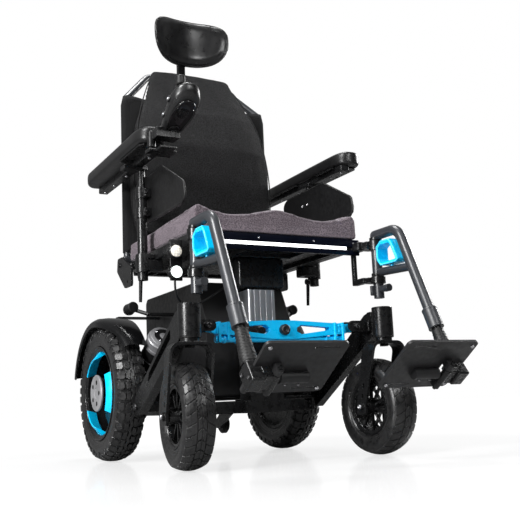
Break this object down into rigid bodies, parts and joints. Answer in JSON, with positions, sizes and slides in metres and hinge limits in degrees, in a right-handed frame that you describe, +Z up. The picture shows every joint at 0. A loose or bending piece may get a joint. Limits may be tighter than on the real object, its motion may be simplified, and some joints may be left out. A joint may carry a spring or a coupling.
{
  "type": "power wheelchair",
  "caption": "Rear-wheel-drive power wheelchair with seat lift, rocking front beam, swing-away legrests, reclining back and headrest.",
  "frame": {"origin": "on the floor, at the middle of the chair's footprint, 326 mm in front of the drive axle", "axes": "+Z up, -Y the way the chair faces, +X the sitter's left"},
  "size_m": [0.636, 1.0682, 1.294],
  "materials": {
    "black_frame": "satin",
    "grey_metal": "matte",
    "blue": "satin",
    "blue_plastic": "satin",
    "alu": "brushed",
    "plastic": "matte",
    "tyre": "matte",
    "rim": "satin",
    "cushion": "woven",
    "back_fabric": "knitted",
    "skin": "satin",
    "armpad": "soft",
    "led": "lit diffuser",
    "rubber": "matte",
    "plate": "moulded"
  },
  "bodies": {
    "chassis": {"chassis_frame": "black_frame", "battery_box": "plastic", "body_shroud": "plastic", "drive_unit_l": "grey_metal", "drive_unit_r": "grey_metal", "fender_l": "plastic", "fender_r": "plastic", "rear_lights": "plastic", "lift_outer": "alu"},
    "seat": {"lift_inner": "black_frame", "seat_frame": "black_frame", "led_strip": "led", "seat_cushion": "cushion", "lamps": "plastic", "lamp_cable": "rubber", "arm_post_l": "black_frame", "arm_post_r": "black_frame", "side_guard_l": "plastic", "side_guard_r": "plastic"},
    "beam": {"rocker_beam": "blue"},
    "drive_wheel_l": {"drive_tyre_l": "tyre", "drive_rim_l": "rim", "rim_inserts_l": "blue_plastic"},
    "anti_tip_l": {"anti_tip_wheel_l": "rubber"},
    "freewheel_l": {"freewheel_lever_l": "alu"},
    "arm_l": {"caster_arm_l": "black_frame"},
    "fork_l": {"caster_fork_l": "black_frame"},
    "caster_l": {"caster_tyre_l": "tyre", "caster_rim_l": "rim"},
    "clamp_l": {"arm_lever_l": "plastic"},
    "armrest_l": {"arm_rail_l": "black_frame", "arm_pad_l": "armpad"},
    "legrest_l": {"hanger_l": "black_frame"},
    "release_l": {"ring_handle_l": "blue_plastic"},
    "leg_extension_l": {"extension_l": "rubber"},
    "plate_l": {"footplate_l": "plate"},
    "drive_wheel_r": {"drive_tyre_r": "tyre", "drive_rim_r": "rim", "rim_inserts_r": "blue_plastic"},
    "anti_tip_r": {"anti_tip_wheel_r": "rubber"},
    "freewheel_r": {"freewheel_lever_r": "alu"},
    "arm_r": {"caster_arm_r": "black_frame"},
    "fork_r": {"caster_fork_r": "black_frame"},
    "caster_r": {"caster_tyre_r": "tyre", "caster_rim_r": "rim"},
    "clamp_r": {"arm_lever_r": "plastic"},
    "armrest_r": {"arm_rail_r": "black_frame", "arm_pad_r": "armpad", "controller_mount": "black_frame"},
    "legrest_r": {"hanger_r": "black_frame"},
    "release_r": {"ring_handle_r": "blue_plastic"},
    "leg_extension_r": {"extension_r": "rubber"},
    "plate_r": {"footplate_r": "plate"},
    "back": {"back_canes": "black_frame", "back_shell": "back_fabric", "back_pad": "back_fabric"},
    "head_stalk": {"headrest_stalk": "black_frame"},
    "head": {"headrest_pad": "skin"},
    "control": {"controller_box": "plastic"},
    "stick": {"joystick": "rubber"}
  },
  "joints": [
    {"name": "seat_lift", "type": "slide", "parent": "chassis", "child": "seat", "axis": [0, 0, 1], "range_m": [0, 0.2]},
    {"name": "beam_rock", "type": "hinge", "parent": "chassis", "child": "beam", "pos_m": [0, -0.15094, 0.3], "axis": [0, 1, 0], "range_deg": [-4, 4]},
    {"name": "drive_wheel_spin_l", "type": "hinge", "parent": "chassis", "child": "drive_wheel_l", "pos_m": [0.259, 0.32606, 0.178], "axis": [1, 0, 0], "continuous": true},
    {"name": "anti_tip_spin_l", "type": "hinge", "parent": "chassis", "child": "anti_tip_l", "pos_m": [0.155, 0.50606, 0.075], "axis": [1, 0, 0], "continuous": true},
    {"name": "freewheel_lever_turn_l", "type": "hinge", "parent": "chassis", "child": "freewheel_l", "pos_m": [0.214, 0.26606, 0.258], "axis": [-1, 0, 0], "range_deg": [0, 30]},
    {"name": "caster_arm_swing_l", "type": "hinge", "parent": "chassis", "child": "arm_l", "pos_m": [0.253, 0.11206, 0.138], "axis": [1, 0, 0], "range_deg": [-4, 4]},
    {"name": "caster_swivel_l", "type": "hinge", "parent": "arm_l", "child": "fork_l", "pos_m": [0.255, -0.20194, 0.3], "axis": [0, 0, 1], "continuous": true},
    {"name": "caster_spin_l", "type": "hinge", "parent": "fork_l", "child": "caster_l", "pos_m": [0.25326, -0.16198, 0.115], "axis": [0.999, 0.0436, 0], "continuous": true},
    {"name": "arm_clamp_turn_l", "type": "hinge", "parent": "seat", "child": "clamp_l", "pos_m": [0.246, 0.11706, 0.462], "axis": [1, 0, 0], "range_deg": [-30, 30]},
    {"name": "armrest_height_l", "type": "slide", "parent": "seat", "child": "armrest_l", "axis": [0, 0, 1], "range_m": [0, 0.08]},
    {"name": "legrest_swing_l", "type": "hinge", "parent": "seat", "child": "legrest_l", "pos_m": [0.241, -0.21494, 0.45], "axis": [0, 0, 1], "range_deg": [0, 90]},
    {"name": "legrest_release_l", "type": "slide", "parent": "legrest_l", "child": "release_l", "axis": [0, 0, 1], "range_m": [0, 0.005], "stiffness_N_per_m": 400},
    {"name": "leg_length_l", "type": "slide", "parent": "legrest_l", "child": "leg_extension_l", "axis": [0, -0.4067, -0.9135], "range_m": [0, 0.06]},
    {"name": "footplate_flip_l", "type": "hinge", "parent": "leg_extension_l", "child": "plate_l", "pos_m": [0.204, -0.46403, 0.17287], "axis": [0, 0.809, -0.5878], "range_deg": [0, 85]},
    {"name": "drive_wheel_spin_r", "type": "hinge", "parent": "chassis", "child": "drive_wheel_r", "pos_m": [-0.259, 0.32606, 0.178], "axis": [1, 0, 0], "continuous": true},
    {"name": "anti_tip_spin_r", "type": "hinge", "parent": "chassis", "child": "anti_tip_r", "pos_m": [-0.155, 0.50606, 0.075], "axis": [1, 0, 0], "continuous": true},
    {"name": "freewheel_lever_turn_r", "type": "hinge", "parent": "chassis", "child": "freewheel_r", "pos_m": [-0.214, 0.26606, 0.258], "axis": [-1, 0, 0], "range_deg": [0, 30]},
    {"name": "caster_arm_swing_r", "type": "hinge", "parent": "chassis", "child": "arm_r", "pos_m": [-0.253, 0.11206, 0.138], "axis": [1, 0, 0], "range_deg": [-4, 4]},
    {"name": "caster_swivel_r", "type": "hinge", "parent": "arm_r", "child": "fork_r", "pos_m": [-0.255, -0.20194, 0.3], "axis": [0, 0, 1], "continuous": true},
    {"name": "caster_spin_r", "type": "hinge", "parent": "fork_r", "child": "caster_r", "pos_m": [-0.25054, -0.16219, 0.115], "axis": [0.9938, -0.1115, 0], "continuous": true},
    {"name": "arm_clamp_turn_r", "type": "hinge", "parent": "seat", "child": "clamp_r", "pos_m": [-0.246, 0.11706, 0.462], "axis": [1, 0, 0], "range_deg": [-30, 30]},
    {"name": "armrest_height_r", "type": "slide", "parent": "seat", "child": "armrest_r", "axis": [0, 0, 1], "range_m": [0, 0.08]},
    {"name": "legrest_swing_r", "type": "hinge", "parent": "seat", "child": "legrest_r", "pos_m": [-0.241, -0.21494, 0.45], "axis": [0, 0, -1], "range_deg": [0, 90]},
    {"name": "legrest_release_r", "type": "slide", "parent": "legrest_r", "child": "release_r", "axis": [0, 0, 1], "range_m": [0, 0.005], "stiffness_N_per_m": 400},
    {"name": "leg_length_r", "type": "slide", "parent": "legrest_r", "child": "leg_extension_r", "axis": [0, -0.4067, -0.9135], "range_m": [0, 0.06]},
    {"name": "footplate_flip_r", "type": "hinge", "parent": "leg_extension_r", "child": "plate_r", "pos_m": [-0.204, -0.46403, 0.17287], "axis": [0, -0.809, 0.5878], "range_deg": [0, 85]},
    {"name": "back_recline", "type": "hinge", "parent": "seat", "child": "back", "pos_m": [0, 0.30406, 0.52], "axis": [-1, 0, 0], "range_deg": [0, 30]},
    {"name": "headrest_height", "type": "slide", "parent": "back", "child": "head_stalk", "axis": [0, 0, 1], "range_m": [0, 0.07]},
    {"name": "headrest_tilt", "type": "hinge", "parent": "head_stalk", "child": "head", "pos_m": [0, 0.40006, 1.2], "axis": [1, 0, 0], "range_deg": [-18, 6]},
    {"name": "control_swing", "type": "hinge", "parent": "armrest_r", "child": "control", "pos_m": [-0.294, -0.10194, 0.74], "axis": [0, 0, -1], "range_deg": [0, 80]},
    {"name": "joystick_tilt", "type": "hinge", "parent": "control", "child": "stick", "pos_m": [-0.256, -0.19394, 0.8245], "axis": [1, 0, 0], "range_deg": [-14, 14], "stiffness_Nm_per_rad": 0.4}
  ],
  "couplings": [
    {"joint": "caster_arm_swing_l", "follows": "beam_rock", "ratio": 0.7567},
    {"joint": "caster_arm_swing_r", "follows": "beam_rock", "ratio": -0.7567}
  ]
}
